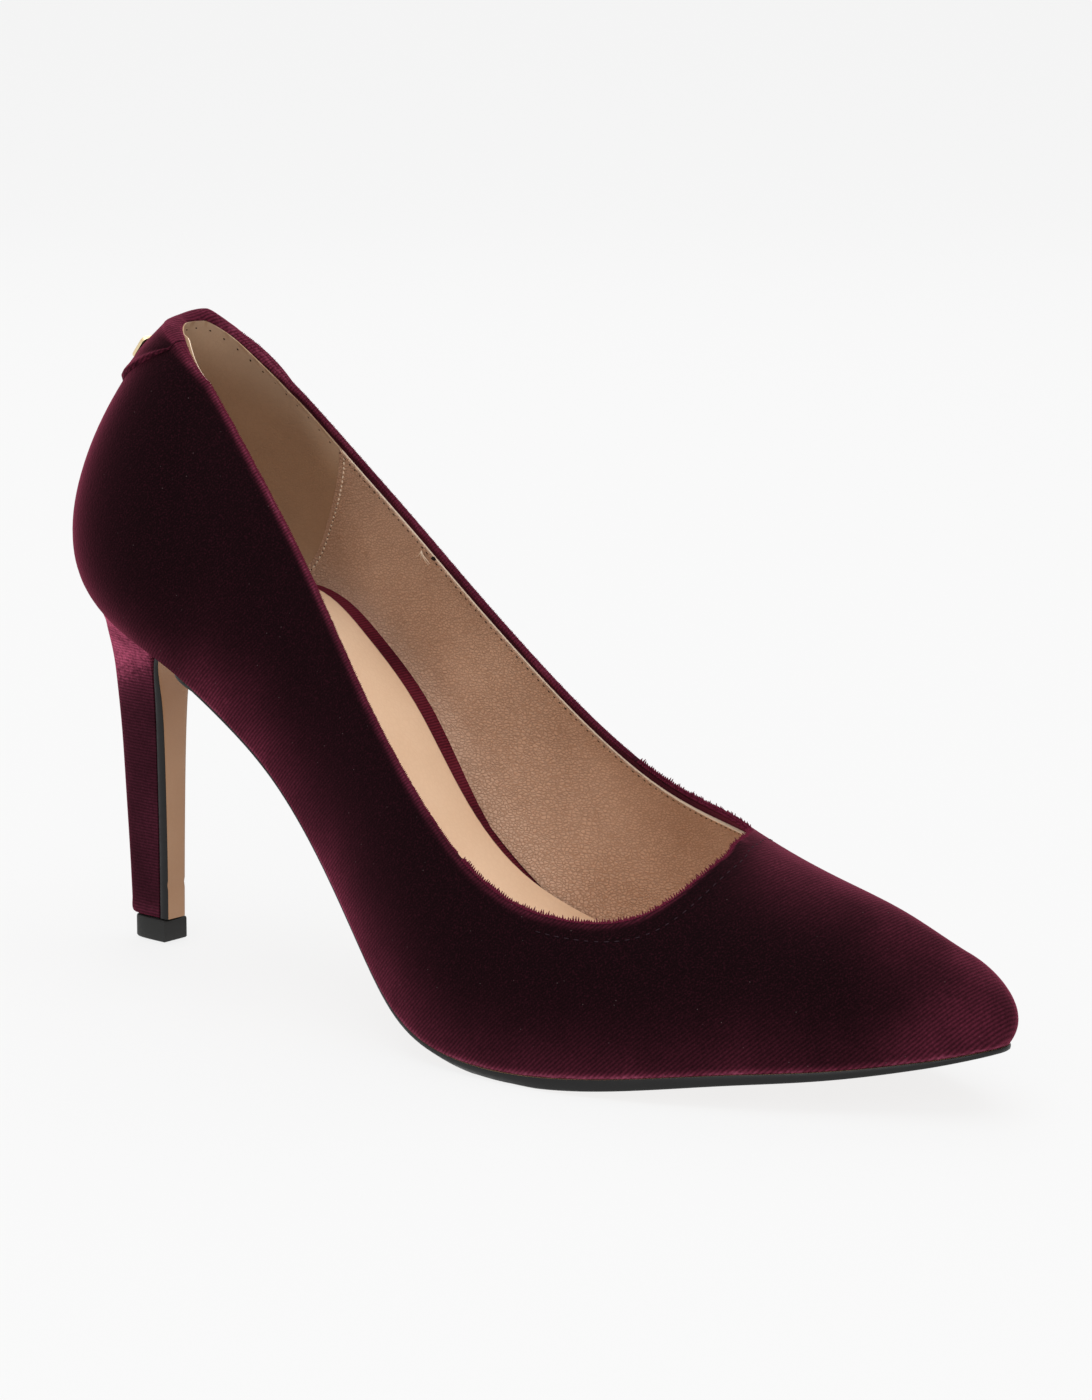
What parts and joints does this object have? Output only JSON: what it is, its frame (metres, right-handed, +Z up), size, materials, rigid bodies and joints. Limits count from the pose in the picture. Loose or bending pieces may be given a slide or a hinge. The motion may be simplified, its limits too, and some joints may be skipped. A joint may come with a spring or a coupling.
{
  "type": "stiletto court shoe",
  "caption": "Stiletto court shoe for the right foot with a pointed closed toe, low square throat, slim covered heel and a folded tab at the back.",
  "frame": {"origin": "on the floor, under the middle of the bounding box", "axes": "+X from heel to toe, +Y to the inner side of the foot, +Z up"},
  "size_m": [0.2396, 0.0782, 0.1415],
  "materials": {
    "upper_velvet": "wine velvet, near black facing, wine sheen at the edges",
    "tab_velvet": "wine velvet, folded hem",
    "gilt_plate": "polished gilt",
    "insole_cover": "wine velvet over board",
    "sock_leather": "peach, fine pores",
    "sole_leather": "tan, smooth, black painted edge",
    "heel_velvet": "wine velvet stretched over the heel",
    "tip_rubber": "black satin"
  },
  "bodies": {
    "root": {"upper": "upper_velvet", "heel_tab": "tab_velvet", "back_plate": "gilt_plate", "insole": "insole_cover", "sock": "sock_leather", "outsole": "sole_leather", "heel": "heel_velvet", "top_piece": "tip_rubber"}
  },
  "joints": []
}
